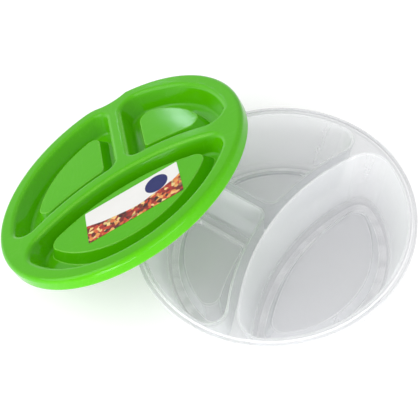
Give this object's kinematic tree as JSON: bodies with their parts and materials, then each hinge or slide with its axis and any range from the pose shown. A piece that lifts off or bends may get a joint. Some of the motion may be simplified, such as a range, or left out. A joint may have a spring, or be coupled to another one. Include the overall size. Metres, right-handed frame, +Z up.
{
  "type": "divided snack tray with lid",
  "caption": "Round clear plastic snack tray divided into compartments, with an opaque press-on lid that lies off the tray and leans on its rim.",
  "frame": {"origin": "bottom centre of the box round the tray and the leaning lid, on the table", "axes": "+Z up, +X along the longest extent from the leaning lid towards the tray, +Y to the back"},
  "size_m": [0.3756, 0.3282, 0.1283],
  "materials": {
    "tray": "clear, faintly grey moulded plastic, glossy",
    "lid": "opaque lime green moulded plastic, glossy",
    "label": null
  },
  "bodies": {
    "base": {"tray": "tray"},
    "lid": {"lid": "lid", "label": "label"}
  },
  "joints": [
    {"name": "lid_lift", "type": "slide", "parent": "base", "child": "lid", "axis": [0, 0, 1], "range_m": [0, 0.12]}
  ]
}
